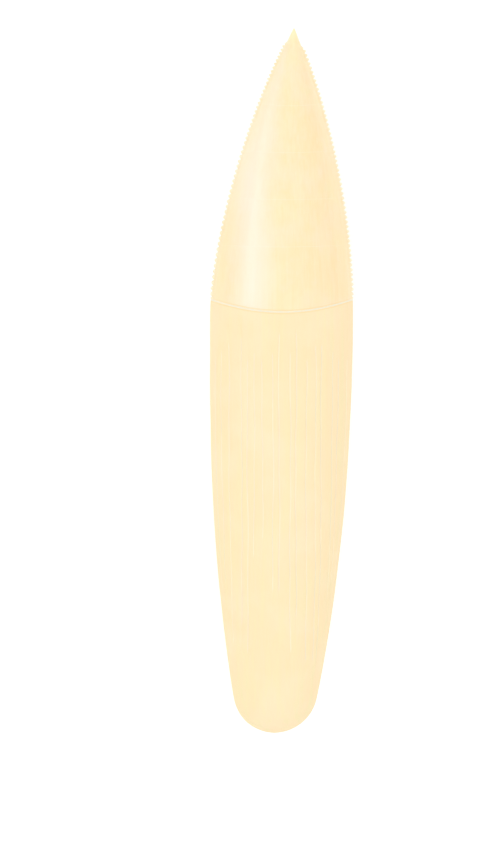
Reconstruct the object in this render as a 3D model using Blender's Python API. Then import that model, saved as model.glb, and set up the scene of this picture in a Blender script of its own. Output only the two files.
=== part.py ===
"""Tyrannosaurus tooth: a saw-edged crown and a striated root, grown as one solid.

The tooth lies on its side on a small worn flat. Metres, +Z up. +Y runs from the root end to
the crown tip, +X to the distal edge, and the origin lies on the surface it rests on, under
the middle of the tooth. A station is a distance along the tooth from the root end.
"""

import math
import random

import bmesh
import bpy
import numpy as np
from mathutils import Matrix, Vector

MM = 0.001

# Driving dimensions
TOOTH_LENGTH = 199.1 * MM
TOOTH_WIDTH = 40.4 * MM
DEPTH_TO_WIDTH = 0.70
CERVIX_STATION = 122.3 * MM  # the enamel's lower edge, where it crosses the two cutting edges
CERVIX_DIP = 3.8 * MM  # how far that edge dips towards the root on the two broad faces
TIP_LEAN = 3.55 * MM
ROOT_LEAN = 1.95 * MM
ROOT_END_RADIUS = 11.9 * MM
FLAT_DEPTH = 0.5 * MM

# Outline: the crown closes to the tip and the root tapers to its round end
CROWN_SHOULDER = 118 * MM
CROWN_POWER = 1.65
CROWN_BLUNTNESS = 0.88
ROOT_SHOULDER = 122 * MM
ROOT_TAPER = 10.4 * MM
ROOT_POWER = 2.45
ROOT_ARC_LENGTH = 9.5 * MM  # the stretch of the root end that is a round arc
CROWN_LEAN_START = 120 * MM
CROWN_LEAN_POWER = 1.1
ROOT_LEAN_START = 113 * MM
ROOT_LEAN_POWER = 1.2

# Section: an oval on the root, pinched towards the two cutting edges on the crown
ROOT_PINCH = 1.0
CROWN_PINCH = 1.4
PINCH_START = 103 * MM
PINCH_END = 155 * MM

# Cervix: a fine groove along the enamel's lower edge
CERVIX_GROOVE_DEPTH = 0.3 * MM
CERVIX_GROOVE_HALF = 0.5 * MM
CERVIX_DIP_FADE = 22 * MM

# Saw edge: notches cut into a keel, half a notch proud of the outline, leave round denticles.
# Each pair holds the value near the cervix and the value near the tip.
MESIAL_PITCHES = (1.61 * MM, 1.07 * MM)
MESIAL_DEPTHS = (0.71 * MM, 0.80 * MM)
MESIAL_BARE_TIP = 4.6 * MM
DISTAL_PITCHES = (1.37 * MM, 1.25 * MM)
DISTAL_DEPTHS = (0.80 * MM, 0.74 * MM)
DISTAL_BARE_TIP = 5.9 * MM
CHANGE_POWER = 1.7  # over 1, most of the change from cervix to tip comes near the tip
KEEL_NARROWNESS = 100  # the keel's height falls off as this power of the angle's cosine
KEEL_STEP_DOWN = 0.6 * MM  # the stretch in which the keel ends, past the last notch
BARE_TIP_INSET = 0.17  # how far the bare tip lies inside the outline, in shares of its half width
BARE_ABOVE_CERVIX = 0.9 * MM
NOTCH_STEPS = (0.14, 0.26, 0.37)  # where the notch's side is drawn, in shares of the spacing
NOTCH_HALF = 0.46  # half of its mouth, in the same shares: the rest is the denticle's top
NOTCH_OVERCUT = 0.3 * MM  # how far the cutter reaches past the keel
NOTCH_REACH = 5 * MM  # how far it reaches to each side of the tooth's middle plane

# Striae: fine grooves along the root, each with its own two ends within these ranges
STRIA_DEPTH = 0.16 * MM
STRIA_STARTS = (12 * MM, 49 * MM)
STRIA_ENDS = (103 * MM, 114 * MM)
STRIA_SEED = 7

# Mesh resolution
COLUMNS = 68
COLUMN_EVENNESS = 0.5  # 0 spaces the columns evenly in angle, 1 evenly across the face
END_RINGS = 5
ROOT_RINGS = 13
CROWN_RINGS = 13
CROWN_RING_CROWDING = 1.55
KEEL_STEPS = 200

MIDDLE_STATION = TOOTH_LENGTH / 2
HALF_WIDTH = TOOTH_WIDTH / 2
AXIS_HEIGHT = HALF_WIDTH * DEPTH_TO_WIDTH - FLAT_DEPTH

IVORY = (0.87, 0.75, 0.49, 1.0)
IVORY_ROUGHNESS = 0.42


def smooth(low, high, value):
    """0 below low and 1 above high, with an even curve between."""
    share = min(max((value - low) / (high - low), 0.0), 1.0)
    return share * share * (3 - 2 * share)


def outline_half_width(station):
    """Half the tooth's width, without the saw edge."""
    if station <= ROOT_ARC_LENGTH:
        rise = ROOT_END_RADIUS - station
        return math.sqrt(max(ROOT_END_RADIUS**2 - rise**2, 0.0))
    root = HALF_WIDTH
    if station < ROOT_SHOULDER:
        root -= ROOT_TAPER * ((ROOT_SHOULDER - station) / ROOT_SHOULDER) ** ROOT_POWER
    if station <= CROWN_SHOULDER:
        return root
    share = (station - CROWN_SHOULDER) / (TOOTH_LENGTH - CROWN_SHOULDER)
    closing = max(1 - share**CROWN_POWER, 0.0) ** CROWN_BLUNTNESS
    return min(root, HALF_WIDTH * closing)


def notch_depth(station, distal):
    near_cervix, near_tip = DISTAL_DEPTHS if distal else MESIAL_DEPTHS
    share = (station - CERVIX_STATION) / (TOOTH_LENGTH - CERVIX_STATION)
    return near_cervix + (near_tip - near_cervix) * max(share, 0.0) ** CHANGE_POWER


def last_notch(distal):
    return TOOTH_LENGTH - (DISTAL_BARE_TIP if distal else MESIAL_BARE_TIP)


def full_rise(station, distal):
    """How far the keel stands proud of the outline where it has notches: half their depth."""
    above_cervix = smooth(CERVIX_STATION, CERVIX_STATION + BARE_ABOVE_CERVIX, station)
    return notch_depth(station, distal) / 2 * above_cervix


def keel_rise(station, distal):
    """The same with the keel's end, past which the bare tip lies a little inside the outline."""
    rise = full_rise(station, distal)
    past = smooth(last_notch(distal), last_notch(distal) + KEEL_STEP_DOWN, station)
    inset = min(rise, outline_half_width(station) * BARE_TIP_INSET)
    return rise * (1 - past) - inset * past


def midline(station):
    """The sideways place of the section's middle."""
    if station > CROWN_LEAN_START:
        share = (station - CROWN_LEAN_START) / (TOOTH_LENGTH - CROWN_LEAN_START)
        return TIP_LEAN * share**CROWN_LEAN_POWER
    if station < ROOT_LEAN_START:
        share = (ROOT_LEAN_START - station) / ROOT_LEAN_START
        return -ROOT_LEAN * share**ROOT_LEAN_POWER
    return 0.0


def pinch(station):
    """The power that draws the section in towards its two edges. 1 leaves an oval."""
    return ROOT_PINCH + (CROWN_PINCH - ROOT_PINCH) * smooth(PINCH_START, PINCH_END, station)


def surface_point(station, angle, inset=0.0):
    """A point of the tooth's skin. Angle 0 is the distal edge and pi the mesial edge."""
    wide = outline_half_width(station)
    turn = math.cos(angle)
    rise = keel_rise(station, turn > 0)
    if rise > 0:
        rise *= abs(turn) ** KEEL_NARROWNESS
    across = max(wide + rise - inset, 0.0)
    deep = max(wide * DEPTH_TO_WIDTH - inset, 0.0)
    height = math.copysign(abs(math.sin(angle)) ** pinch(station), math.sin(angle))
    return Vector(
        (
            midline(station) + across * turn,
            station - MIDDLE_STATION,
            AXIS_HEIGHT + deep * height,
        )
    )


def ring_dip(station):
    """How far a ring dips towards the root on the broad faces."""
    away = abs(station - CERVIX_STATION)
    return CERVIX_DIP * (1 - smooth(CERVIX_GROOVE_HALF, CERVIX_DIP_FADE, away))


def ring_stations():
    """The place of each ring on the cutting edges, from the root end to the tip."""
    turn = math.acos(1 - ROOT_ARC_LENGTH / ROOT_END_RADIUS)
    stations = [
        ROOT_END_RADIUS * (1 - math.cos(turn * i / END_RINGS))
        for i in range(1, END_RINGS + 1)
    ]
    groove_low = CERVIX_STATION - CERVIX_GROOVE_HALF
    groove_high = CERVIX_STATION + CERVIX_GROOVE_HALF
    root = groove_low - ROOT_ARC_LENGTH
    stations += [
        ROOT_ARC_LENGTH + root * i / ROOT_RINGS for i in range(1, ROOT_RINGS + 1)
    ]
    stations += [CERVIX_STATION, groove_high]
    length = TOOTH_LENGTH - groove_high
    crown = [
        TOOTH_LENGTH - length * (1 - i / CROWN_RINGS) ** CROWN_RING_CROWDING
        for i in range(1, CROWN_RINGS)
    ]
    for last in (last_notch(True), last_notch(False)):  # two rings for each keel's end
        crown = [station for station in crown if abs(station - last) > 2 * KEEL_STEP_DOWN]
        crown += [last, last + KEEL_STEP_DOWN]
    return stations + sorted(crown)


def column_angle(column):
    """The angle round the section of a column of points, crowded a little at the edges."""
    half = COLUMNS // 2
    share = (column % half) / half
    even_in_angle = math.pi * share
    even_across = math.acos(1 - 2 * share)
    turn = even_in_angle + (even_across - even_in_angle) * COLUMN_EVENNESS
    return turn + math.pi * (column // half)


def stria_reaches():
    """The two end stations of the groove in each odd column."""
    chance = random.Random(STRIA_SEED)
    return {
        column: (chance.uniform(*STRIA_STARTS), chance.uniform(*STRIA_ENDS))
        for column in range(1, COLUMNS, 2)
    }


def make_body():
    """A sphere whose rings are moved to the tooth's sections, with its poles at the ends."""
    stations = ring_stations()
    reaches = stria_reaches()
    ring_count = len(stations) + 1
    bm = bmesh.new()
    bmesh.ops.create_uvsphere(bm, u_segments=COLUMNS, v_segments=ring_count, radius=1)
    for vert in bm.verts:
        latitude = math.atan2(vert.co.z, math.hypot(vert.co.x, vert.co.y))
        ring = round((latitude / math.pi + 0.5) * ring_count)
        if ring in (0, ring_count):
            end = 0.0 if ring == 0 else TOOTH_LENGTH
            vert.co = (midline(end), end - MIDDLE_STATION, AXIS_HEIGHT)
            continue
        longitude = math.atan2(-vert.co.y, vert.co.x) % math.tau
        column = round(longitude / math.tau * COLUMNS) % COLUMNS
        angle = column_angle(column)
        edge_station = stations[ring - 1]
        station = edge_station - ring_dip(edge_station) * math.sin(angle) ** 2
        low, high = reaches.get(column, (0, 0))
        inset = STRIA_DEPTH if low < station < high else 0.0
        if edge_station == CERVIX_STATION:
            inset = CERVIX_GROOVE_DEPTH * abs(math.sin(angle))
        vert.co = surface_point(station, angle, inset)
    return new_object("tooth", bm)


def keel_places(distal):
    """The station of each notch of one cutting edge, and its distance to the next one."""
    share = np.linspace(0.0, 1.0, KEEL_STEPS)
    low, high = CERVIX_STATION + BARE_ABOVE_CERVIX, last_notch(distal)
    steps = low + (high - low) * share
    cervix_pitch, tip_pitch = DISTAL_PITCHES if distal else MESIAL_PITCHES
    pitches = cervix_pitch + (tip_pitch - cervix_pitch) * share**CHANGE_POWER
    points = np.array([keel_point(station, distal) for station in steps])
    strides = np.linalg.norm(np.diff(points, axis=0), axis=1)
    passed = np.concatenate([[0.0], np.cumsum(strides / pitches[1:])])  # notches so far
    spaces = round(passed[-1])
    fit = passed[-1] / spaces  # stretches the spacing a little, so that a whole number fits
    stations = np.interp(np.linspace(0.0, passed[-1], spaces + 1), passed, steps)
    return [(float(s), float(np.interp(s, steps, pitches)) * fit) for s in stations]


def keel_point(station, distal):
    """A point of the keel's crest, as if it ran on past the last notch."""
    out = outline_half_width(station) + full_rise(station, distal)
    return Vector(
        (midline(station) + (out if distal else -out), station - MIDDLE_STATION, AXIS_HEIGHT)
    )


def notch_outline(pitch, depth):
    """A V whose sides flatten outwards, closed by a straight mouth outside the keel."""
    side = [(share * pitch, depth * (math.sin(math.pi * share) - 1)) for share in NOTCH_STEPS]
    side.append((NOTCH_HALF * pitch, NOTCH_OVERCUT))
    return [(-x, y) for x, y in reversed(side)] + [(0.0, -depth)] + side


def add_notch(bm, station, pitch, distal):
    """The cutter of the notch at this station: a prism across the keel."""
    before = keel_point(station - pitch / 2, distal)
    after = keel_point(station + pitch / 2, distal)
    along = (after - before).normalized()
    deep = Vector((0, 0, 1))
    outward = along.cross(deep) * (1 if distal else -1)
    turn = Matrix((outward.cross(deep), outward, deep)).transposed().to_4x4()
    place = Matrix.Translation(keel_point(station, distal)) @ turn
    outline = notch_outline(pitch, notch_depth(station, distal))
    prism = bmesh.ops.create_cone(
        bm,
        cap_ends=True,
        segments=len(outline),
        radius1=1,
        radius2=1,
        depth=2 * NOTCH_REACH,
    )
    for vert in prism["verts"]:
        corner = round(math.atan2(vert.co.y, vert.co.x) / math.tau * len(outline)) % len(outline)
        vert.co = place @ Vector((*outline[corner], vert.co.z))


def make_notches():
    bm = bmesh.new()
    for distal in (True, False):
        for station, pitch in keel_places(distal):
            add_notch(bm, station, pitch, distal)
    return new_object("notches", bm)


def make_flat_cutter():
    """A block whose top is the surface that the tooth rests on."""
    bm = bmesh.new()
    bmesh.ops.create_cube(bm, size=1)
    block = Vector((TOOTH_WIDTH, TOOTH_LENGTH, TOOTH_WIDTH))
    for vert in bm.verts:
        vert.co = Vector(a * b for a, b in zip(vert.co, block)) - Vector((0, 0, block.z / 2))
    return new_object("rest_flat", bm)


def new_object(name, bm):
    mesh = bpy.data.meshes.new(name)
    bm.to_mesh(mesh)
    bm.free()
    return bpy.data.objects.new(name, mesh)


def new_collection(name):
    collection = bpy.data.collections.new(name)
    bpy.context.scene.collection.children.link(collection)
    return collection


def ivory():
    material = bpy.data.materials.new("ivory")
    material.use_nodes = True
    shader = material.node_tree.nodes["Principled BSDF"]
    shader.inputs["Base Color"].default_value = IVORY
    shader.inputs["Roughness"].default_value = IVORY_ROUGHNESS
    shader.inputs["Metallic"].default_value = 0.0
    material.diffuse_color = IVORY
    return material


def cut(body, cutter):
    modifier = body.modifiers.new(cutter.name, "BOOLEAN")
    modifier.operation = "DIFFERENCE"
    modifier.object = cutter


def main():
    for obj in list(bpy.data.objects):
        bpy.data.objects.remove(obj, do_unlink=True)
    part = new_collection("tyrannosaurus_tooth")
    helpers = new_collection("helpers")

    tooth = make_body()
    part.objects.link(tooth)
    tooth.data.materials.append(ivory())
    for cutter in (make_notches(), make_flat_cutter()):
        helpers.objects.link(cutter)
        cutter.hide_render = True
        cutter.display_type = "WIRE"
        cut(tooth, cutter)
    tooth.data.shade_smooth()
    tooth.data.set_sharp_from_angle(angle=math.radians(40))


main()
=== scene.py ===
import math
import random

import bpy
import numpy as np
from mathutils import Matrix, Vector, noise


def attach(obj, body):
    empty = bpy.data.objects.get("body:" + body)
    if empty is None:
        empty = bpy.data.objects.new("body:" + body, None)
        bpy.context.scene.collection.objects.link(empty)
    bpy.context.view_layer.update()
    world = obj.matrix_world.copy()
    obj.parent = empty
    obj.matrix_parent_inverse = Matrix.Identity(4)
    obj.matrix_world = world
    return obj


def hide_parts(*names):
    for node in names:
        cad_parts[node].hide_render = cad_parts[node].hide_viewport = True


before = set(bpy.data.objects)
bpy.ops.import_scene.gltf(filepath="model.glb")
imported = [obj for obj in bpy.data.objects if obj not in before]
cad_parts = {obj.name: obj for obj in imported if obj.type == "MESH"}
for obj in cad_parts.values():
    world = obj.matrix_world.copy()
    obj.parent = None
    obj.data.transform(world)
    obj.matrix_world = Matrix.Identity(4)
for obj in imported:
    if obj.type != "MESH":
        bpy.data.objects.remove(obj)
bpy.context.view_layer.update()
mm = 0.001

# The tooth in millimetres. A station is a distance along it from the root end.
tooth = {
    "length": 199.1,
    "halfWidth": 20.2,
    "depthToWidth": 0.70,
    "flatDepth": 0.5,  # how much is worn away where it rests
    "rootEndRadius": 11.9,
    "rootEndLength": 9.5,
    "rootTaper": 10.4,
    "rootPower": 2.45,
    "rootShoulder": 122,
    "crownShoulder": 118,
    "crownPower": 1.65,
    "crownBluntness": 0.88,
    "tipLean": 3.55,
    "tipLeanFrom": 120,
    "tipLeanPower": 1.1,
    "rootLean": 1.95,
    "rootLeanFrom": 113,
    "rootLeanPower": 1.2,
    "crownPinch": 1.4,  # over 1 the section is pinched towards the cutting edges
    "pinchStart": 103,
    "pinchEnd": 155,
    "keelSharpness": 0.75,
    "rootSwell": 0.08,  # slow hollows and swellings
    "rootFlute": 0.035,  # fine lengthwise flutes between the striae
    "crownSwell": 0.035,
    "swellSize": 9,
    "fluteSize": (1.3, 30, 1.3),
    "sharpAngle": 40,  # faces that meet at more degrees than this show an edge
}
rings = {
    "rootEnd": 9,
    "firstStep": 0.3,  # the ring nearest the root end, in shares of the others' spacing
    "root": 46,
    "crown": 36,
    "crownCrowding": 1.35,
    "edgeColumns": (4.5, 10, 170, 175.5),  # extra columns of points beside the two edges
    "tolerance": 0.01,  # how near a point must lie to its ring to be taken for one of it
}
neck = {
    "station": 122.3,
    "dip": 3.8,  # how far the enamel's edge hangs towards the root on each broad face
    "dipFade": 22,
    "grooveHalf": 0.5,
    "grooveFloor": 0.1,
    "grooveDepth": 0.34,
    "bandHalf": 0.3,
    "blend": 1,  # how far to each side the root's unevenness turns into the crown's
}
growthLines = {
    "stations": (137.7, 151.0, 164.3, 177.6),
    "half": 0.35,
    "depth": 0.05,
    "clearance": 2.5,  # no other ring lies within this many halves
    "dip": 1.0,
    "dipRise": 12,  # how far above the neck the dip is whole
    "dipEnd": (20, 2),  # how far from the tip it starts to fade and is gone
}
striae = {
    "perFace": 17,
    "half": 0.24,
    "depth": 0.25,
    "starts": (12, 49),
    "ends": (109, 120.5),
    "runOut": (6, 4),  # the half-deep stretch at its lower and its upper end
    "wander": 0.26,
    "slowWave": (45, 80),
    "slowShare": 0.6,
    "quickWave": (17, 28),
    "steady": (112, 120),  # where the wander dies away
    "stray": 0.85,  # how far one may lie beside its even place
    "crowding": 4,
    "seed": 7,
    "seedStep": 1000,
}
# Each pair holds the value near the neck and the value near the tip
saw = {
    "mesial": {"pitches": (1.61, 1.07), "depths": (0.71, 0.80), "bareTip": 4.6},
    "distal": {"pitches": (1.37, 1.25), "depths": (0.80, 0.74), "bareTip": 5.9},
    "changePower": 1.7,
    "narrowness": 100,  # the keel's height falls off as this power of the angle's cosine
    "stepDown": 0.6,  # the stretch in which the keel ends, past the last notch
    "tipInset": 0.17,  # how far the bare tip lies inside the outline, in shares of its half width
    "aboveNeck": 0.9,
    "sideSteps": 6,  # points on each side of a notch
    "half": 0.47,  # half of its mouth, in shares of the spacing: the rest is a denticle's top
    "overcut": 0.4,  # how far the cutter reaches past the keel, in shares of the depth
    "reach": 5,  # how far it reaches across the keel, to each side
    "samples": 200,
    "mergeUnder": 0.003,  # points that the cut leaves closer than this become one
}

middleStation = tooth["length"] / 2
axisHeight = tooth["halfWidth"] * tooth["depthToWidth"] - tooth["flatDepth"]


def smooth(low, high, value):
    share = min(max((value - low) / (high - low), 0.0), 1.0)
    return share * share * (3 - 2 * share)


def halfWidth(station):
    if station <= tooth["rootEndLength"]:
        rise = tooth["rootEndRadius"] - station
        return math.sqrt(max(tooth["rootEndRadius"] ** 2 - rise ** 2, 0.0))
    root = tooth["halfWidth"]
    if station < tooth["rootShoulder"]:
        share = (tooth["rootShoulder"] - station) / tooth["rootShoulder"]
        root -= tooth["rootTaper"] * share ** tooth["rootPower"]
    if station <= tooth["crownShoulder"]:
        return root
    share = (station - tooth["crownShoulder"]) / (tooth["length"] - tooth["crownShoulder"])
    closing = max(1 - share ** tooth["crownPower"], 0.0) ** tooth["crownBluntness"]
    return min(root, tooth["halfWidth"] * closing)


def midLine(station):
    tipFrom, rootFrom = tooth["tipLeanFrom"], tooth["rootLeanFrom"]
    if station > tipFrom:
        share = (station - tipFrom) / (tooth["length"] - tipFrom)
        return tooth["tipLean"] * share ** tooth["tipLeanPower"]
    if station < rootFrom:
        share = (rootFrom - station) / rootFrom
        return -tooth["rootLean"] * share ** tooth["rootLeanPower"]
    return 0.0


def sawEdge(side):
    return saw["distal"] if side > 0 else saw["mesial"]


def notchDepth(station, side):
    nearNeck, nearTip = sawEdge(side)["depths"]
    share = max((station - neck["station"]) / (tooth["length"] - neck["station"]), 0.0)
    return nearNeck + (nearTip - nearNeck) * share ** saw["changePower"]


def lastNotch(side):
    return tooth["length"] - sawEdge(side)["bareTip"]


# The crown's edge stands half a notch proud of the outline before the saw is cut
def fullRise(station, side):
    aboveNeck = smooth(neck["station"], neck["station"] + saw["aboveNeck"], station)
    return notchDepth(station, side) / 2 * aboveNeck


# The same with the keel's end, past which the bare tip lies a little inside the outline
def keelRise(station, side):
    rise = fullRise(station, side)
    past = smooth(lastNotch(side), lastNotch(side) + saw["stepDown"], station)
    return rise * (1 - past) - min(rise, halfWidth(station) * saw["tipInset"]) * past


# How far a ring hangs towards the root on the broad faces
def ringDip(station):
    away = abs(station - neck["station"])
    atNeck = neck["dip"] * (1 - smooth(neck["grooveHalf"], neck["dipFade"], away))
    onCrown = smooth(neck["station"], neck["station"] + growthLines["dipRise"], station)
    fading, gone = (tooth["length"] - left for left in growthLines["dipEnd"])
    onCrown *= 1 - smooth(fading, gone, station)
    return max(atNeck, growthLines["dip"] * onCrown)


def pinch(station):
    return 1 + (tooth["crownPinch"] - 1) * smooth(tooth["pinchStart"], tooth["pinchEnd"], station)


# Angle 0 is the distal edge and pi the mesial edge
def skinPoint(station, angle, inset=0.0):
    wide, turn = halfWidth(station), math.cos(angle)
    rise = keelRise(station, turn)
    if rise > 0:
        rise *= abs(turn) ** saw["narrowness"]
    across = max(wide + rise - inset, 0.0)
    deep = max(wide * tooth["depthToWidth"] - inset, 0.0)
    height = math.copysign(abs(math.sin(angle)) ** pinch(station), math.sin(angle))
    x = midLine(station) + across * turn
    return Vector((x, station - middleStation, axisHeight + deep * height))


def ringStations():
    end, low = tooth["rootEndLength"], neck["station"] - neck["grooveHalf"]
    turn = math.acos(1 - end / tooth["rootEndRadius"])
    count, first = rings["rootEnd"], rings["firstStep"]
    turns = [turn * (i + first) / (count + first) for i in range(count + 1)]
    found = [tooth["rootEndRadius"] * (1 - math.cos(t)) for t in turns]
    found += [end + (low - end) * i / rings["root"] for i in range(1, rings["root"] + 1)]
    found += [neck["station"] + neck["bandHalf"] * i for i in (-1, 0, 1)]
    high = neck["station"] + neck["grooveHalf"]
    left = [1 - i / rings["crown"] for i in range(rings["crown"])]
    crown = [tooth["length"] - (tooth["length"] - high) * n ** rings["crownCrowding"] for n in left]
    for line in growthLines["stations"]:  # three rings close together carry each growth line
        crown = [s for s in crown if abs(s - line) > growthLines["half"] * growthLines["clearance"]]
        crown += [line + growthLines["half"] * i for i in (-1, 0, 1)]
    for last in (lastNotch(1), lastNotch(-1)):  # and three the end of each keel
        crown = [s for s in crown if abs(s - last - saw["stepDown"] / 2) > saw["stepDown"]]
        crown += [last + saw["stepDown"] * i for i in (0, 0.5, 1)]
    return found + sorted(crown)


# The angle of each column of points, and the number of the stria that it carries, if any.
# Three columns close together carry a stria.
def columnPlan():
    chance = random.Random(striae["seed"])
    count = striae["perFace"]
    found = []
    for face in (0, 1):
        half = [(0.0, None)] + [(math.radians(a), None) for a in rings["edgeColumns"]]
        half += [(math.acos(1 - 2 * i / count), None) for i in range(1, count)]
        for i in range(count):
            stray = chance.uniform(-1, 1) * striae["stray"] / tooth["halfWidth"]
            angle = math.acos(1 - (2 * i + 1) / count + stray)
            slope = math.hypot(math.sin(angle), tooth["depthToWidth"] * math.cos(angle))
            turn = striae["half"] / tooth["halfWidth"] / slope
            half += [(angle - turn, None), (angle, face * count + i), (angle + turn, None)]
        half.sort(key=lambda column: column[0])
        found += [(angle + face * math.pi, number) for angle, number in half]
    return found


# Leaves the points that pass a test alone selected, in edit mode
def pick(test):
    bpy.ops.object.mode_set(mode="OBJECT")
    mesh = bpy.context.object.data
    for part in (mesh.vertices, mesh.edges, mesh.polygons):
        part.foreach_set("select", np.zeros(len(part), bool))
    mesh.vertices.foreach_set("select", [bool(test(vert)) for vert in mesh.vertices])
    bpy.ops.object.mode_set(mode="EDIT")
    bpy.ops.mesh.select_mode(type="VERT")


def applyAll(obj):
    bpy.ops.object.mode_set(mode="OBJECT")
    bpy.ops.object.select_all(action="DESELECT")
    obj.select_set(True)
    bpy.context.view_layer.objects.active = obj
    for modifier in list(obj.modifiers):
        bpy.ops.object.modifier_apply(modifier=modifier.name)


# The ring of points is extruded from section to section, then closed at both ends
def loftTooth(columns, stations):
    bpy.ops.object.select_all(action="DESELECT")
    bpy.ops.mesh.primitive_circle_add(vertices=len(columns), radius=1)
    body = bpy.context.object
    body.name = "tyrannosaurTooth"
    for vert, (angle, _) in zip(body.data.vertices, columns):
        vert.co = skinPoint(stations[0], angle) * mm
    bpy.ops.object.mode_set(mode="EDIT")
    bpy.ops.mesh.select_all(action="SELECT")
    for before, station in zip(stations, stations[1:]):
        step = Vector((midLine(station) - midLine(before), station - before, 0)) * mm
        bpy.ops.mesh.extrude_region_move(TRANSFORM_OT_translate={"value": step})
        grow = halfWidth(station) / halfWidth(before)
        centre = Vector((midLine(station), station - middleStation, axisHeight)) * mm
        bpy.ops.transform.resize(value=(grow, 1, grow), center_override=centre)
    closeEnd(tooth["length"], stations[-1])
    bpy.ops.object.mode_set(mode="OBJECT")
    first = (stations[0] - middleStation) * mm
    pick(lambda vert: abs(vert.co.y - first) < rings["tolerance"] * mm)
    closeEnd(0, stations[0])
    bpy.ops.mesh.select_all(action="SELECT")
    bpy.ops.mesh.normals_make_consistent(inside=False)
    bpy.ops.object.mode_set(mode="OBJECT")
    return body


def closeEnd(end, ring):
    shift = Vector((midLine(end) - midLine(ring), end - ring, 0)) * mm
    bpy.ops.mesh.extrude_region_move(TRANSFORM_OT_translate={"value": shift})
    bpy.ops.mesh.merge(type="CENTER")


# Finds the ring and the column of each point of the loft by its place
def readLoft(body, columns, stations):
    angles = np.array([angle for angle, _ in columns])
    places = np.array(stations)
    found = {}
    for vert in body.data.vertices:
        station = vert.co.y / mm + middleStation
        ring = int(np.argmin(abs(places - station)))
        if abs(places[ring] - station) > rings["tolerance"]:
            continue  # one of the two end points
        wide = halfWidth(station)
        x = (vert.co.x / mm - midLine(station)) / wide
        z = (vert.co.z / mm - axisHeight) / wide / tooth["depthToWidth"]
        turn = abs(angles - math.atan2(z, x) % math.tau)
        found[vert.index] = (ring, int(np.argmin(np.minimum(turn, math.tau - turn))))
    return found


# How far a stria lies beside its column, in millimetres along the skin
def wander(number, station):
    chance = random.Random(striae["seed"] * striae["seedStep"] + number)
    slow, quick = chance.uniform(*striae["slowWave"]), chance.uniform(*striae["quickWave"])
    starts = chance.uniform(0, math.tau), chance.uniform(0, math.tau)
    wave = striae["slowShare"] * math.sin(math.tau * station / slow + starts[0])
    wave += (1 - striae["slowShare"]) * math.sin(math.tau * station / quick + starts[1])
    return striae["wander"] * wave * (1 - smooth(*striae["steady"], station))


# The angle at which a column lies at a station. The columns run straight down the root, and
# crowd together only where it narrows, near its two edges.
def straighten(angle, station):
    station = min(max(station, tooth["rootEndLength"]), tooth["crownShoulder"])
    turn, wide, lean = math.cos(angle), halfWidth(station), midLine(station)
    share = (tooth["halfWidth"] * turn - lean) / wide
    edge = abs(tooth["halfWidth"] * math.copysign(1, turn) - lean) / wide
    power = striae["crowding"]
    share /= (1 + abs(turn) ** power * (edge ** power - 1)) ** (1 / power)
    found = math.acos(min(max(share, -1), 1))
    return found if angle < math.pi else math.tau - found


# Gives the loft what extruding can't: the arched rings, the pinched section, the groove at
# the neck, the striae's wander and the slow unevenness of a thing that grew
def shapeLoft(body, columns, stations, places):
    nearest = {}
    for index, (_, number) in enumerate(columns):
        for near in (index - 1, index, index + 1):
            if number is not None:
                nearest[near % len(columns)] = number
    for index, (ring, column) in places.items():
        edge = stations[ring]
        angle = straighten(columns[column][0], edge)
        station = edge - ringDip(edge) * math.sin(angle) ** 2
        if column in nearest:
            slope = math.hypot(math.sin(angle), tooth["depthToWidth"] * math.cos(angle))
            angle += wander(nearest[column], station) / halfWidth(station) / slope
        fromNeck = edge - neck["station"]
        groove = smooth(neck["grooveHalf"], neck["grooveFloor"], abs(fromNeck))
        inset = neck["grooveDepth"] * abs(math.sin(angle)) * groove
        point = skinPoint(station, angle)
        crown = smooth(-neck["blend"], neck["blend"], fromNeck)
        swell = tooth["rootSwell"] + (tooth["crownSwell"] - tooth["rootSwell"]) * crown
        inset += swell * noise.noise(point / tooth["swellSize"])
        drawn = Vector([value / size for value, size in zip(point, tooth["fluteSize"])])
        inset += tooth["rootFlute"] * (1 - crown) * noise.noise(drawn)
        body.data.vertices[index].co = skinPoint(station, angle, inset) * mm


def sink(chosen, depth):
    pick(lambda vert: vert.index in chosen)
    bpy.ops.transform.shrink_fatten(value=-depth * mm)
    bpy.ops.object.mode_set(mode="OBJECT")


# Each stria is sunk in two goes, so that it runs out softly at its own two ends
def sinkStriae(columns, stations, places):
    chance = random.Random(striae["seed"])
    reach = {}
    for number in sorted(number for _, number in columns if number is not None):
        reach[number] = chance.uniform(*striae["starts"]), chance.uniform(*striae["ends"])
    lowRunOut, highRunOut = striae["runOut"]
    whole, middle = set(), set()
    for index, (ring, column) in places.items():
        number = columns[column][1]
        if number is None:
            continue
        low, high = reach[number]
        if low < stations[ring] < high:
            whole.add(index)
        if low + lowRunOut < stations[ring] < high - highRunOut:
            middle.add(index)
    for chosen in (whole, middle):
        sink(chosen, striae["depth"] / 2)
    return middle


print("lofting the tooth")
columns, stations = columnPlan(), ringStations()
body = loftTooth(columns, stations)
places = readLoft(body, columns, stations)
shapeLoft(body, columns, stations, places)

print("sinking striae and growth lines")
inStria = sinkStriae(columns, stations, places)
inLine = {index for index, (ring, _) in places.items() if stations[ring] in growthLines["stations"]}
sink(inLine, growthLines["depth"])
paint = body.data.attributes.new("stria", "FLOAT", "POINT")
paint.data.foreach_set("value", [float(vert.index in inStria) for vert in body.data.vertices])

print("rounding it off")
keels = {
    index for index, (ring, column) in places.items()
    if column in (0, len(columns) // 2) and stations[ring] > neck["station"]}
pick(lambda vert: vert.index in keels)
bpy.ops.transform.edge_crease(value=tooth["keelSharpness"])
bpy.ops.object.mode_set(mode="OBJECT")
rounding = body.modifiers.new("rounding", "SUBSURF")
rounding.levels = rounding.render_levels = 1
applyAll(body)

pick(lambda vert: vert.co.z < 0)
bpy.ops.transform.resize(value=(1, 1, 0), center_override=(0, 0, 0))  # the worn flat
bpy.ops.object.mode_set(mode="OBJECT")


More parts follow.
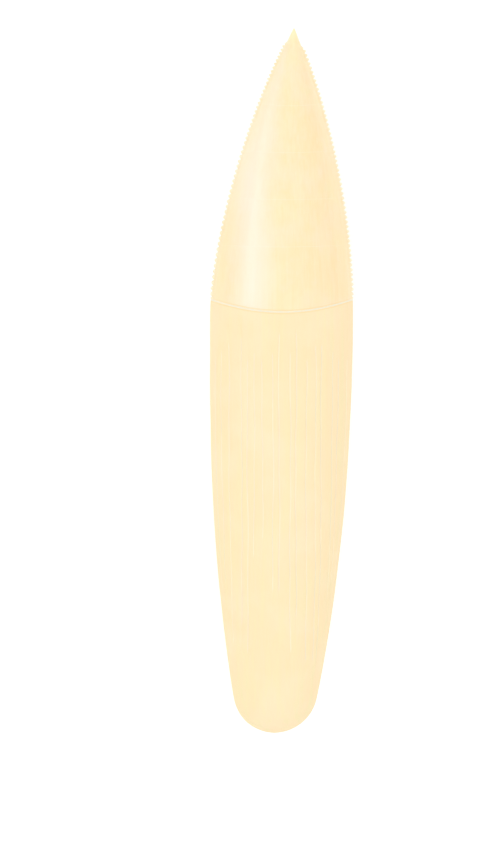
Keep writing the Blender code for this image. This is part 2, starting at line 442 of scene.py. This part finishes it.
# A point of the keel's crest, as if it ran on past the last notch
def keelPoint(station, side):
    out = halfWidth(station) + fullRise(station, side)
    return Vector((midLine(station) + out * side, station - middleStation, axisHeight))


# Stations along one cutting edge, how many notches have passed at each, and their spacing
def countNotches(side):
    neckPitch, tipPitch = sawEdge(side)["pitches"]
    low, high = neck["station"] + saw["aboveNeck"], lastNotch(side)
    share = np.linspace(0.0, 1.0, saw["samples"])
    steps = low + (high - low) * share
    pitches = neckPitch + (tipPitch - neckPitch) * share ** saw["changePower"]
    points = np.array([keelPoint(step, side) for step in steps])
    strides = np.linalg.norm(np.diff(points, axis=0), axis=1)
    passed = np.concatenate([[0.0], np.cumsum(strides / pitches[1:])])
    fit = passed[-1] / round(passed[-1])
    return steps, passed / fit, pitches * fit


# The cutter of one notch, for a depth and a spacing of 1: a V whose sides flatten outwards,
# drawn as an outline and extruded across the keel. X is outward and Y runs along the keel.
def modelNotch():
    count = saw["sideSteps"]
    shares = [saw["half"] * i / count for i in range(1, count + 1)]
    side = [(math.sin(math.pi * share) - 1, share) for share in shares[:-1]]
    side.append((saw["overcut"], saw["half"]))
    outline = [(x, -y) for x, y in reversed(side)] + [(-1.0, 0.0)] + side
    bpy.ops.object.select_all(action="DESELECT")
    bpy.ops.mesh.primitive_circle_add(vertices=len(outline), fill_type="NGON", location=(0, 0, 0))
    made = bpy.context.object
    made.name = "notch"
    for vert, corner in zip(made.data.vertices, outline):
        vert.co = (*corner, -saw["reach"])
    bpy.ops.object.mode_set(mode="EDIT")
    bpy.ops.mesh.select_all(action="SELECT")
    bpy.ops.mesh.extrude_region_move(TRANSFORM_OT_translate={"value": (0, 0, 2 * saw["reach"])})
    bpy.ops.mesh.select_all(action="SELECT")
    bpy.ops.mesh.normals_make_consistent(inside=False)
    bpy.ops.object.mode_set(mode="OBJECT")
    return made


# A copy of the cutter at each place, all joined
def setNotches(first):
    copies = []
    for side in (1, -1):
        steps, passed, pitches = countNotches(side)
        for number in range(round(passed[-1]) + 1):
            station = float(np.interp(number, passed, steps))
            pitch = float(np.interp(number, passed, pitches))
            ends = keelPoint(station - pitch / 2, side), keelPoint(station + pitch / 2, side)
            across = Vector((0, 0, 1))
            outward = (ends[1] - ends[0]).normalized().cross(across) * side
            turn = Matrix((outward, across.cross(outward), across)).transposed().to_4x4()
            size = Matrix.Diagonal((notchDepth(station, side), pitch, 1, 1))
            place = Matrix.Translation(keelPoint(station, side)) @ turn @ size
            copy = first.copy()
            copy.data = first.data.copy()
            copy.data.transform(Matrix.Scale(mm, 4) @ place)
            bpy.context.scene.collection.objects.link(copy)
            copies.append(copy)
    bpy.data.objects.remove(first)
    bpy.ops.object.select_all(action="DESELECT")
    for copy in copies:
        copy.select_set(True)
    bpy.context.view_layer.objects.active = copies[0]
    bpy.ops.object.join()
    return copies[0]


print("cutting the saw edge")
notches = setNotches(modelNotch())
cutting = body.modifiers.new("saw edge", "BOOLEAN")
cutting.operation = "DIFFERENCE"
cutting.solver = "MANIFOLD"
cutting.object = notches
applyAll(body)
bpy.data.objects.remove(notches)

sawStart = (neck["station"] - middleStation) * mm
sawStop = (lastNotch(-1) - middleStation) * mm
pick(lambda vert: sawStart < vert.co.y < sawStop)
bpy.ops.mesh.remove_doubles(threshold=saw["mergeUnder"] * mm)
bpy.ops.object.mode_set(mode="OBJECT")
bpy.ops.object.shade_smooth_by_angle(angle=math.radians(tooth["sharpAngle"]))
print("triangles", sum(len(p.vertices) - 2 for p in body.data.polygons))

marking = {
    "rounds": 6,  # how often the guess of the unarched place is improved
    "lastStation": 199,  # past here a point is measured as if it lay here
    "leastHalfWidth": 0.2,
}


# Tells of each point how far along the tooth it lies, as if the rings weren't arched, how far
# across it, from -1 at the mesial edge to 1 at the distal one, how far inside the keel's crest,
# and how many notches of the nearer edge lie below it
def markPlaces(body):
    along, across, inside, notch = [], [], [], []
    counts = {side: countNotches(side)[:2] for side in (1, -1)}
    for vert in body.data.vertices:
        x, station = vert.co.x / mm, vert.co.y / mm + middleStation
        place = station
        for _ in range(marking["rounds"]):
            wide = halfWidth(min(place, marking["lastStation"]))
            share = (x - midLine(place)) / max(wide, marking["leastHalfWidth"])
            place = station + ringDip(place) * max(1 - share ** 2, 0)
        along.append(place)
        across.append(min(max(share, -1), 1))
        side = 1 if x > midLine(station) else -1
        crest = halfWidth(min(station, marking["lastStation"])) + fullRise(station, side)
        inside.append(crest - abs(x - midLine(station)))
        notch.append(np.interp(station, *counts[side]))
    for name, values in (("along", along), ("across", across), ("inside", inside), ("notch", notch)):
        body.data.attributes.new(name, "FLOAT", "POINT").data.foreach_set("value", values)
    return along


print("marking places")
along = markPlaces(body)
body.data.materials.clear()
for name in ("crownEnamel", "neckLine", "rootCementum"):
    body.data.materials.append(bpy.data.materials.new(name))
for face in body.data.polygons:
    above = sum(along[v] for v in face.vertices) / len(face.vertices) - neck["station"]
    face.material_index = 1 if abs(above) < neck["bandHalf"] else 0 if above > 0 else 2


# Gives the sockets of a node their values and links
def plug(made, sockets):
    for name, value in sockets.items():
        if isinstance(value, Wire):
            value.tree.links.new(value.socket, made.inputs[name])
        else:
            made.inputs[name].default_value = value


# A socket that Python can do sums with
class Wire:
    def __init__(self, tree, socket=None):
        self.tree, self.socket = tree, socket

    # Any node: its type, its settings, then the values and links of its sockets
    def node(self, kind, settings=None, sockets=None, output=0):
        made = self.tree.nodes.new(kind)
        for name, value in (settings or {}).items():
            setattr(made, name, value)
        plug(made, sockets or {})
        return Wire(self.tree, made.outputs[output])

    def maths(self, operation, other=0.0):
        return self.node("ShaderNodeMath", {"operation": operation}, {0: self, 1: other})

    def __add__(self, other):
        return self.maths("ADD", other)

    def __sub__(self, other):
        return self.maths("SUBTRACT", other)

    def __rsub__(self, other):
        return self.node("ShaderNodeMath", {"operation": "SUBTRACT"}, {0: other, 1: self})

    def __mul__(self, other):
        return self.maths("MULTIPLY", other)

    def __truediv__(self, other):
        return self.maths("DIVIDE", other)

    def __pow__(self, other):
        return self.maths("POWER", other)

    def __abs__(self):
        return self.maths("ABSOLUTE")

    __radd__, __rmul__ = __add__, __mul__

    # 0 at low and 1 at high, with an even curve between; high may be the lower one
    def between(self, low, high):
        if low > high:
            return 1 - self.between(high, low)
        return self.node(
            "ShaderNodeMapRange", {"interpolation_type": "SMOOTHSTEP"},
            {"Value": self, "From Min": low, "From Max": high})

    # 1 at the middle, falling evenly to 0 at each side
    def hill(self, middle, half):
        return abs(self - middle).between(half, 0)

    def noise(self, place, scale, detail=2.0, roughness=0.5, stretch=(1, 1, 1), turn=0.0):
        drawn = self.node("ShaderNodeMapping", None, {
            "Vector": place, "Scale": stretch, "Rotation": (0, 0, turn)})
        return self.node("ShaderNodeTexNoise", None, {
            "Vector": drawn, "Scale": scale, "Detail": detail, "Roughness": roughness})

    def mix(self, share, first, second):
        sockets = {0: share, 6: colour(first), 7: colour(second)}
        return self.node("ShaderNodeMix", {"data_type": "RGBA"}, sockets, 2)

    def axis(self, name):
        return self.node("ShaderNodeSeparateXYZ", None, {0: self}, name)

    # Unevenness with a depth in millimetres
    def bump(self, depth):
        return self.node("ShaderNodeBump", None, {"Strength": 1.0, "Distance": depth * mm, "Height": self})


def colour(value):
    return value if isinstance(value, Wire) else (*value, 1.0)


# What each material starts from: its shader, a wire to make nodes with, the place in
# millimetres, the marks that it reads and its patterns
def openMaterial(name, marksRead, patterns):
    material = bpy.data.materials[name]
    material.use_nodes = True
    shader = material.node_tree.nodes["Principled BSDF"]
    wire = Wire(material.node_tree)
    raw = wire.node("ShaderNodeTexCoord", output="Object")
    place = wire.node("ShaderNodeVectorMath", {"operation": "SCALE"}, {0: raw, "Scale": 1 / mm})
    marks = {n: wire.node("ShaderNodeAttribute", {"attribute_name": n}, None, "Fac") for n in marksRead}
    drawn = {n: wire.noise(place, **settings) for n, settings in patterns.items()}
    return shader, wire, place, marks, drawn


# Lays one tint after another over the first, each where its pattern runs from low to high
def layTints(wire, tint, look, layers, drawn):
    for pattern, low, high, share, tone in look[layers]:
        tint = wire.mix(drawn[pattern].between(low, high) * share, tint, look[tone])
    return tint


def addHeights(look, drawn):
    return sum(drawn[pattern] * share for pattern, share in look["heights"].items())


enamel = {
    "base": (0.95, 0.718, 0.385),
    "pale": (0.95, 0.86, 0.70),
    "rosy": (0.955, 0.74, 0.485),
    "straw": (0.87, 0.765, 0.425),
    "patterns": {
        "cloud": {"scale": 0.11, "detail": 3, "roughness": 0.55},
        "drift": {"scale": 0.16, "stretch": (1, 0.6, 1), "turn": 0.7},
        "mottle": {"scale": 0.3, "detail": 3, "roughness": 0.6, "stretch": (1, 0.75, 1)},
        "grain": {"scale": 1.0, "detail": 3, "roughness": 0.6, "stretch": (1.6, 0.025, 1.6)},
        "patches": {"scale": 0.35},
        "ripple": {"scale": 1.2, "detail": 3, "roughness": 0.6, "stretch": (0.5, 1.6, 0.5)},
        "skin": {"scale": 4.5},
    },
    "clouds": (  # a pattern, where it starts and where it is full, its share there, its tint
        ("cloud", 0.42, 0.68, 0.55, "rosy"),
        ("drift", 0.45, 0.70, 0.50, "straw"),
        ("mottle", 0.52, 0.68, 0.35, "rosy"),
        ("mottle", 0.48, 0.32, 0.35, "straw"),
    ),
    "grainFrom": 0.26,
    "grainShare": 0.5,
    "paintedHighlight": (0.95, 0.83, 0.70),  # a painted highlight: a pale stretch along the crown that stands in for the strip light's gloss
    "paintedHighlightX": -8.4,
    "paintedHighlightHalf": 8.8,
    "paintedHighlightShare": 0.64,
    "paintedHighlightBend": 158,  # from here on it leans towards the tip and narrows
    "paintedHighlightLean": 0.27,
    "paintedHighlightTaper": 0.025,
    "paintedHighlightLeast": 0.2,
    "lineHalf": 0.22,
    "lineShare": 0.22,
    "lineEnds": 4,  # how steeply the growth lines fade towards the two edges
    # painted shade: a warmer, darker tone laid towards the crown's cutting edges and in a line inside the
    # crest
    "edge": (0.94, 0.66, 0.30),
    "edgeShadeAcross": (0.7, 1.0),
    "edgeShadeAlong": (185, 135),
    "edgeShadeShare": 0.4,
    "shadeBehindSaw": (0.9, 0.6),  # the middle and the half width of a painted shade line, warm and darker, just inside the crest
    "patchRange": (0.45, 0.6),
    "patchShare": 0.5,
    "patchLeast": 0.15,
    "denticleRange": (0.2, 0.9),
    "denticleInside": (0.4, 0.5),
    "denticleShare": 0.25,
    "notchShade": (0.86, 0.63, 0.33),  # painted shade, darker at the inner end of each notch
    "notchShadeRange": (0.5, 1),
    "notchShadeInside": (0.9, 0.4),
    "notchShadeShare": 0.3,
    "sawStart": (0.4, 1.2),  # the saw's paint sets in this far above the neck
    "sawEnd": (198, 190),
    "tip": (0.94, 0.86, 0.50),
    "tipRange": (193, 198.5),
    "tipShare": 0.85,
    "roughness": 0.33,
    "roughCloud": 0.1,
    "roughSkin": 0.06,
    "coat": 0.9,
    "coatEnd": (199, 197.5),
    "coatRoughness": 0.18,
    "wrinkle": 0.03,
    "heights": {"ripple": 0.7, "skin": 0.3, "grain": 0.4},
    "lineHeight": 0.15,
}
cementum = {
    "base": (0.94, 0.742, 0.44),
    "light": (0.94, 0.79, 0.53),
    "rosy": (0.95, 0.745, 0.485),
    "straw": (0.87, 0.77, 0.445),
    "patterns": {
        "cloud": {"scale": 0.07, "detail": 3, "roughness": 0.55},
        "drift": {"scale": 0.10, "stretch": (1, 0.6, 1), "turn": 0.5},
        "fibre": {"scale": 1.0, "detail": 4, "roughness": 0.65, "stretch": (2.2, 0.03, 2.2)},
        "fine": {"scale": 1.0, "detail": 3, "roughness": 0.6, "stretch": (5.5, 0.12, 5.5)},
        "band": {"scale": 1.0, "stretch": (0.55, 0.012, 0.55)},
        "sway": {"scale": 1.0, "stretch": (0.3, 0.05, 0.3)},
        "pits": {"scale": 2.2, "detail": 3, "roughness": 0.6, "stretch": (1, 0.5, 1)},
    },
    "clouds": (
        ("cloud", 0.42, 0.68, 0.50, "light"),
        ("drift", 0.48, 0.70, 0.45, "straw"),
    ),
    "bands": (
        ("band", 0.50, 0.64, 0.35, "rosy"),
        ("band", 0.50, 0.36, 0.40, "straw"),
    ),
    "fibreFrom": 0.3,
    "fibreShare": 0.5,
    "fineFrom": 0.55,
    "fineShare": 0.5,
    "stria": (0.85, 0.765, 0.585),
    "striaPale": (0.95, 0.83, 0.61),
    "swayRange": (0.45, 0.62),
    "striaRange": (0.2, 0.9),
    "striaShare": 0.85,
    "side": (0.95, 0.74, 0.39),  # painted shade: a little warmer and darker along the two narrow sides
    "sideShadeHeight": (4.0, 0.6),
    "sideShadeCloud": 0.6,
    "sideShadeLeast": 0.1,
    "roughness": 0.62,
    "roughPits": 0.2,
    "grain": 0.05,
    "heights": {"fibre": 0.5, "fine": 0.35, "pits": 0.35},
}
neckLook = {
    "band": (0.83, 0.785, 0.63),
    "line": (0.94, 0.68, 0.34),
    "patterns": {"cloud": {"scale": 0.8, "detail": 3, "roughness": 0.6}},
    "cloudRange": (0.3, 0.7),
    "cloudShare": 0.5,
    "rimStray": 0.2,
    "rimRange": (0.16, 0.32),
    "rimShare": 0.6,
    "lineStray": 0.3,
    "strayScale": 0.45,
    "lineGap": 0.12,
    "lineHalf": 0.3,
    "lineShare": 0.7,
    "roughness": 0.55,
    "grain": 0.04,
}


# The thin warm line on each side of the neck, with a little unevenness
def neckEdge(wire, place, marks):
    stray = (wire.noise(place, neckLook["strayScale"]) - 0.5) * neckLook["lineStray"]
    away = abs(marks["along"] - neck["station"])
    line = (away + stray).hill(neck["bandHalf"] + neckLook["lineGap"], neckLook["lineHalf"])
    return line * neckLook["lineShare"]


def finishEnamel():
    shader, wire, place, marks, drawn = openMaterial(
        "crownEnamel", ("along", "across", "inside", "notch"), enamel["patterns"])
    upward, inside = marks["along"], marks["inside"]
    tint = layTints(wire, enamel["base"], enamel, "clouds", drawn)
    grain = (drawn["grain"] - enamel["grainFrom"]) * enamel["grainShare"]
    tint = wire.mix(grain, tint, enamel["pale"])

    # Painted highlight: a pale lobe at a fixed place across the crown, which leans towards the tip and
    # narrows past the bend
    pastBend = (upward - enamel["paintedHighlightBend"]).maths("MAXIMUM")
    centre = pastBend * enamel["paintedHighlightLean"] + enamel["paintedHighlightX"]
    narrower = (1 - pastBend * enamel["paintedHighlightTaper"]).maths("MAXIMUM", enamel["paintedHighlightLeast"])
    aside = abs(place.axis("X") - centre) / narrower
    highlightLobe = aside.between(enamel["paintedHighlightHalf"], 0) * narrower ** 0.5
    tint = wire.mix(highlightLobe * enamel["paintedHighlightShare"], tint, enamel["paintedHighlight"])

    lines = sum(upward.hill(station, enamel["lineHalf"]) for station in growthLines["stations"])
    faint = lines * (1 - marks["across"] ** enamel["lineEnds"]) * enamel["lineShare"]
    tint = wire.mix(faint, tint, enamel["pale"])
    # Painted shade: warmer and darker towards both cutting edges, strongest near the neck and gone towards
    # the tip
    edge = abs(marks["across"]).between(*enamel["edgeShadeAcross"]) * upward.between(*enamel["edgeShadeAlong"])
    tint = wire.mix(edge * enamel["edgeShadeShare"], tint, enamel["edge"])

    belowTip = upward.between(*enamel["sawEnd"])
    patches = drawn["patches"].between(*enamel["patchRange"]) * enamel["patchShare"] + enamel["patchLeast"]
    # Painted shade: a darker line just inside the crest, in patches, left out where the painted highlight
    # lies
    shadeBehindSaw = inside.hill(*enamel["shadeBehindSaw"]) * (1 - highlightLobe) * belowTip
    tint = wire.mix(shadeBehindSaw * patches, tint, enamel["edge"])
    beads = 0.5 - (marks["notch"] * math.tau).maths("COSINE") * 0.5  # 1 on each denticle, 0 in each notch
    toothed = upward.between(*(neck["station"] + start for start in enamel["sawStart"])) * belowTip
    denticles = beads.between(*enamel["denticleRange"]) * inside.hill(*enamel["denticleInside"]) * toothed
    tint = wire.mix(denticles * enamel["denticleShare"], tint, enamel["pale"])
    # Painted shade in the notches between the denticles
    notchShades = (1 - beads).between(*enamel["notchShadeRange"]) * inside.hill(*enamel["notchShadeInside"]) * toothed
    tint = wire.mix(notchShades * enamel["notchShadeShare"], tint, enamel["notchShade"])

    tint = wire.mix(upward.between(*enamel["tipRange"]) * enamel["tipShare"], tint, enamel["tip"])
    tint = wire.mix(neckEdge(wire, place, marks), tint, neckLook["line"])
    height = addHeights(enamel, drawn) - lines * enamel["lineHeight"]
    rough = (drawn["cloud"] - 0.5) * enamel["roughCloud"] + (drawn["skin"] - 0.5) * enamel["roughSkin"]
    plug(shader, {
        "Base Color": tint,
        "Roughness": rough + enamel["roughness"],
        "Coat Weight": upward.between(*enamel["coatEnd"]) * enamel["coat"],
        "Coat Roughness": enamel["coatRoughness"],
        "Normal": height.bump(enamel["wrinkle"]),
    })


def finishCementum():
    shader, wire, place, marks, drawn = openMaterial(
        "rootCementum", ("along", "stria"), cementum["patterns"])
    tint = layTints(wire, cementum["base"], cementum, "clouds", drawn)
    fibre = (drawn["fibre"] - cementum["fibreFrom"]) * cementum["fibreShare"]
    tint = wire.mix(fibre, tint, cementum["stria"])
    fine = (drawn["fine"] - cementum["fineFrom"]) * cementum["fineShare"]
    tint = wire.mix(fine, tint, cementum["rosy"])
    tint = layTints(wire, tint, cementum, "bands", drawn)

    sway = drawn["sway"].between(*cementum["swayRange"])
    line = wire.mix(sway, cementum["stria"], cementum["striaPale"])
    tint = wire.mix(marks["stria"].between(*cementum["striaRange"]) * cementum["striaShare"], tint, line)
    # Painted shade along the root's two narrow sides, in patches
    side = abs(place.axis("Z") - axisHeight).between(*cementum["sideShadeHeight"])
    side *= drawn["cloud"] * cementum["sideShadeCloud"] + cementum["sideShadeLeast"]
    tint = wire.mix(side, tint, cementum["side"])
    tint = wire.mix(neckEdge(wire, place, marks), tint, neckLook["line"])
    plug(shader, {
        "Base Color": tint,
        "Roughness": (drawn["pits"] - 0.5) * cementum["roughPits"] + cementum["roughness"],
        "Normal": addHeights(cementum, drawn).bump(cementum["grain"]),
    })


def finishNeck():
    shader, wire, _, marks, drawn = openMaterial("neckLine", ("along",), neckLook["patterns"])
    cloud = drawn["cloud"]
    light = cloud.between(*neckLook["cloudRange"]) * neckLook["cloudShare"]
    tint = wire.mix(light, neckLook["band"], cementum["light"])
    away = abs(marks["along"] - neck["station"])
    rim = (away + (cloud - 0.5) * neckLook["rimStray"]).between(*neckLook["rimRange"])
    tint = wire.mix(rim * neckLook["rimShare"], tint, neckLook["line"])
    plug(shader, {
        "Base Color": tint,
        "Roughness": neckLook["roughness"],
        "Normal": cloud.bump(neckLook["grain"]),
    })


print("finishing the surfaces")
finishEnamel()
finishCementum()
finishNeck()

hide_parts("tooth")
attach(body, "root")

studio = {
    "lens": 200,
    "cameraX": -9.73,
    "cameraY": -12.78,
    "cameraHeight": 1348.6,
    "viewEnd": 20000,
    "tentTop": 1.32,
    "tentSide": 0.7,
    "floorSize": 4000,
    "floorTone": 0.6,
    "floorRoughness": 0.9,
    "floorGlow": 0.5,
    "stripPower": 0.24,
    "stripEnds": ((-430, 60, 660), (-820, 520, 230)),
    "stripWidth": 110,
    "stripAim": (0, 50, 14),
}


def litPlace(values):
    return Vector(values) * mm


print("setting the studio")
bpy.ops.object.camera_add(location=litPlace((studio["cameraX"], studio["cameraY"], studio["cameraHeight"])))
eye = bpy.context.object
eye.data.lens = studio["lens"]
eye.data.clip_end = studio["viewEnd"] * mm
bpy.context.scene.camera = eye

bpy.ops.mesh.primitive_plane_add(size=studio["floorSize"] * mm)
floor = bpy.context.object
floor.name = "studioFloor"
floor.data.materials.append(bpy.data.materials.new("paleFloor"))
floor.data.materials[0].use_nodes = True
plug(floor.data.materials[0].node_tree.nodes["Principled BSDF"], {
    "Base Color": (*[studio["floorTone"]] * 3, 1),
    "Roughness": studio["floorRoughness"],
    "Emission Color": (1, 1, 1, 1),
    "Emission Strength": studio["floorGlow"],
})

world = bpy.data.worlds.new("lightTent")
bpy.context.scene.world = world
world.use_nodes = True
tent = Wire(world.node_tree)
toward = tent.node("ShaderNodeTexCoord", output="Generated")
glow = tent.node("ShaderNodeMapRange", None, {
    "Value": toward.axis("Z"), "To Min": studio["tentSide"], "To Max": studio["tentTop"]})
plug(world.node_tree.nodes["Background"], {"Color": (1, 1, 1, 1), "Strength": glow})

stripStart, stripEnd = (litPlace(end) for end in studio["stripEnds"])
bpy.ops.object.light_add(type="AREA", location=(stripStart + stripEnd) / 2)
strip = bpy.context.object
strip.name = "softStrip"
strip.data.shape = "RECTANGLE"
strip.data.size = studio["stripWidth"] * mm
strip.data.size_y = (stripEnd - stripStart).length
strip.data.energy = studio["stripPower"]
away = (strip.location - litPlace(studio["stripAim"])).normalized()
sideways = (stripEnd - stripStart).cross(away).normalized()
strip.rotation_euler = Matrix((sideways, away.cross(sideways), away)).transposed().to_euler()
bpy.context.scene.view_settings.view_transform = "Standard"
